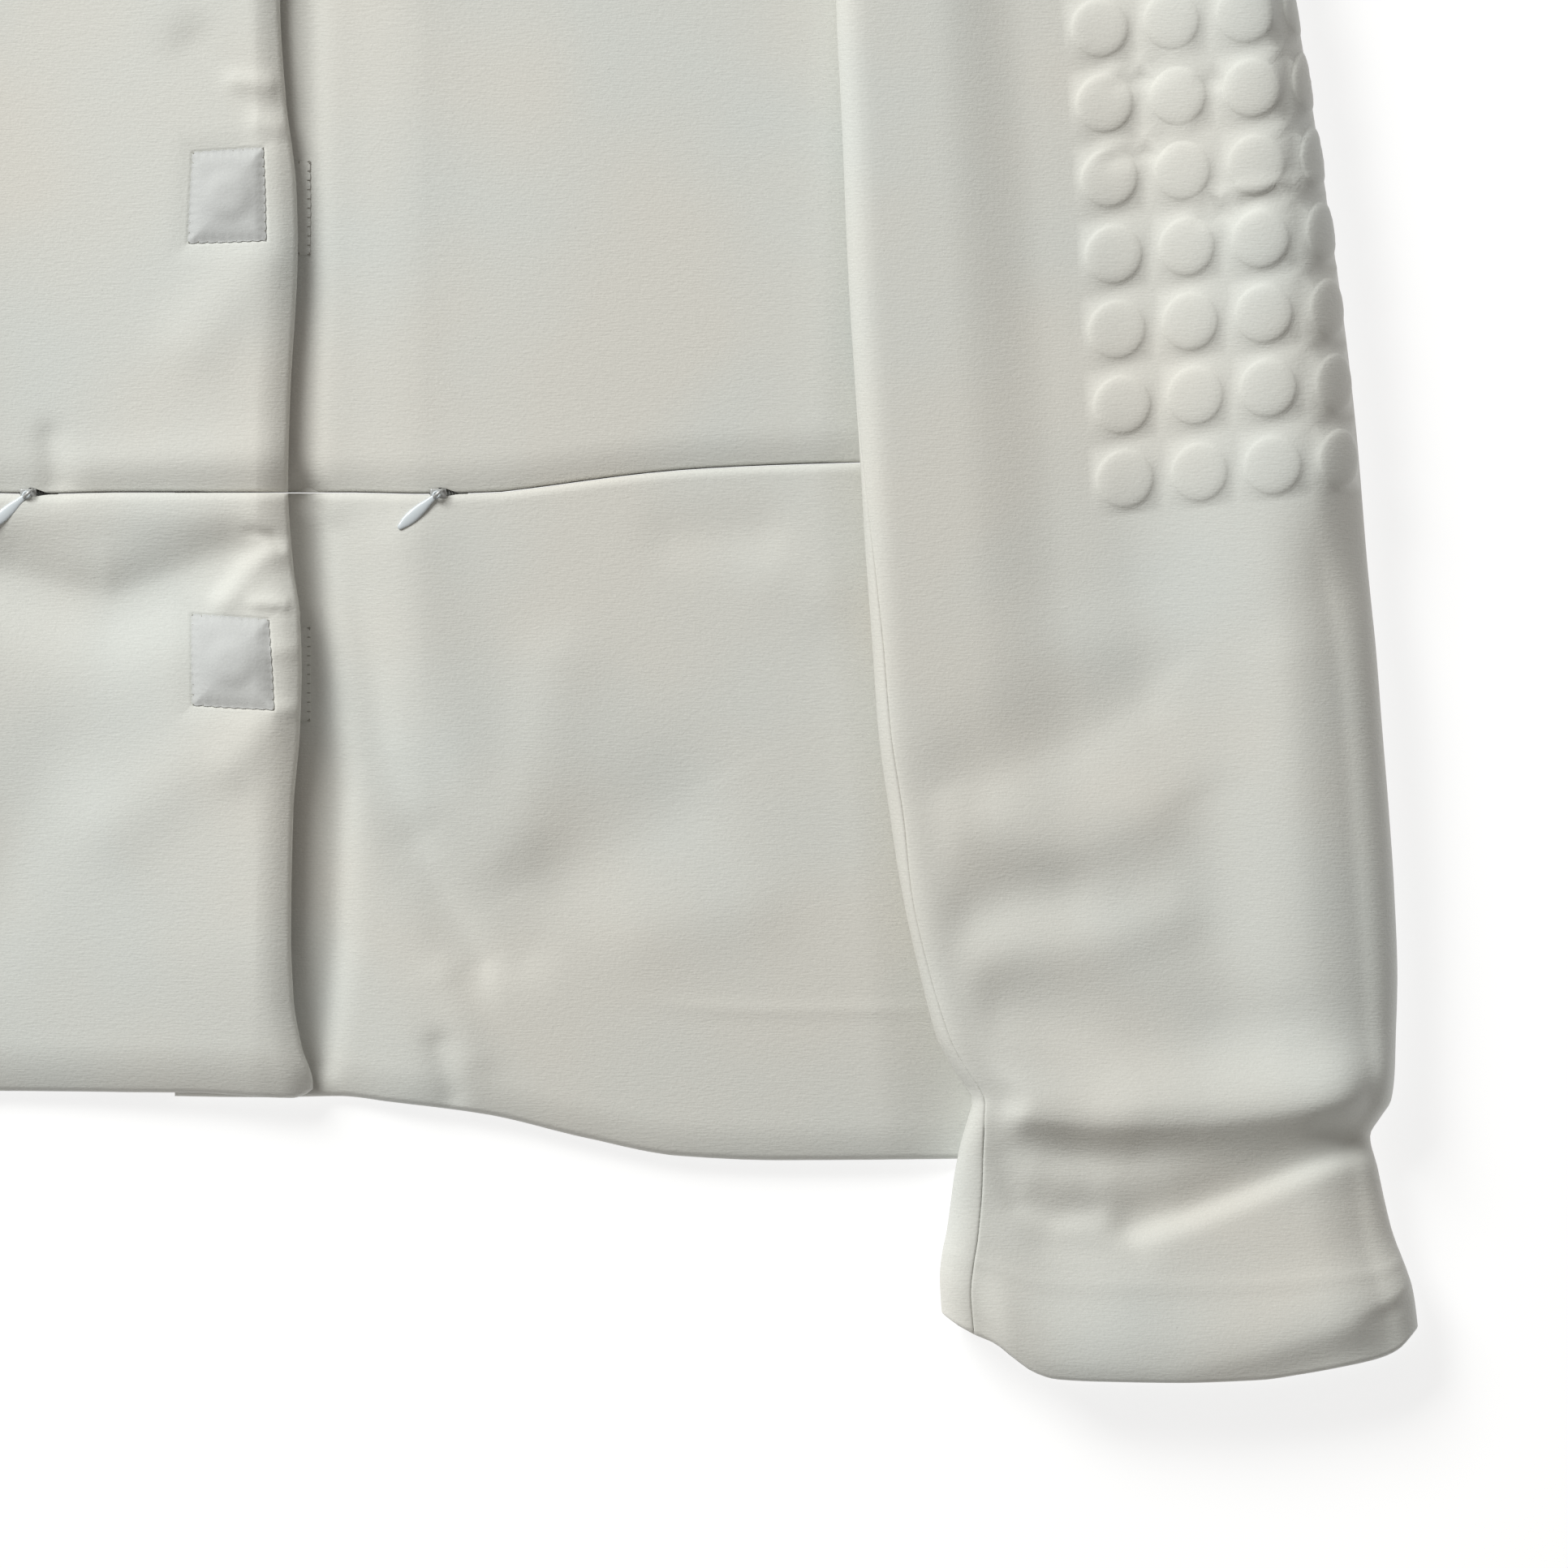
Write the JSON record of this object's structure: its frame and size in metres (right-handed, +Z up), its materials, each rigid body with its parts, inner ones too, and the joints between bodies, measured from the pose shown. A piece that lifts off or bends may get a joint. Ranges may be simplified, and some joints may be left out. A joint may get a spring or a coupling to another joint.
{
  "type": "fencing jacket",
  "caption": "Short jacket of thick ivory bonded knit, laid flat, with a lapped snap front, waist seam with zipped pockets, peplum and sleeves with raised round dots.",
  "frame": {"origin": "on the surface under the jacket, at the middle of its outline; the centre front lies over it", "axes": "+X towards the wearer's left sleeve, +Y from the hem to the collar, +Z up off the surface, front up"},
  "size_m": [0.8024, 0.742, 0.0372],
  "materials": {
    "ivory_knit": "matt bonded knit",
    "zip_enamel": "satin enamel"
  },
  "bodies": {
    "root": {"back_bodice": "ivory_knit", "back_peplum": "ivory_knit", "front_bodice_left": "ivory_knit", "front_bodice_right": "ivory_knit", "front_peplum_left": "ivory_knit", "front_peplum_right": "ivory_knit", "sleeve_left_top": "ivory_knit", "sleeve_left_under": "ivory_knit", "sleeve_right_top": "ivory_knit", "sleeve_right_under": "ivory_knit", "collar": "ivory_knit", "snap_patch_upper": "ivory_knit", "snap_patch_middle": "ivory_knit", "snap_patch_lower": "ivory_knit", "under_patch_upper": "ivory_knit", "under_patch_middle": "ivory_knit", "under_patch_lower": "ivory_knit", "zip_slider_left": "zip_enamel", "zip_slider_right": "zip_enamel"},
    "pull_left": {"zip_pull_left": "zip_enamel"},
    "pull_right": {"zip_pull_right": "zip_enamel"}
  },
  "joints": [
    {"name": "pull_left_hinge", "type": "hinge", "parent": "root", "child": "pull_left", "pos_m": [0.0695, -0.06943, 0.01174], "axis": [-0.6606, 0.7507, 0], "range_deg": [0, 160]},
    {"name": "pull_right_hinge", "type": "hinge", "parent": "root", "child": "pull_right", "pos_m": [-0.0695, -0.06943, 0.01155], "axis": [-0.6606, 0.7507, 0], "range_deg": [0, 160]}
  ]
}
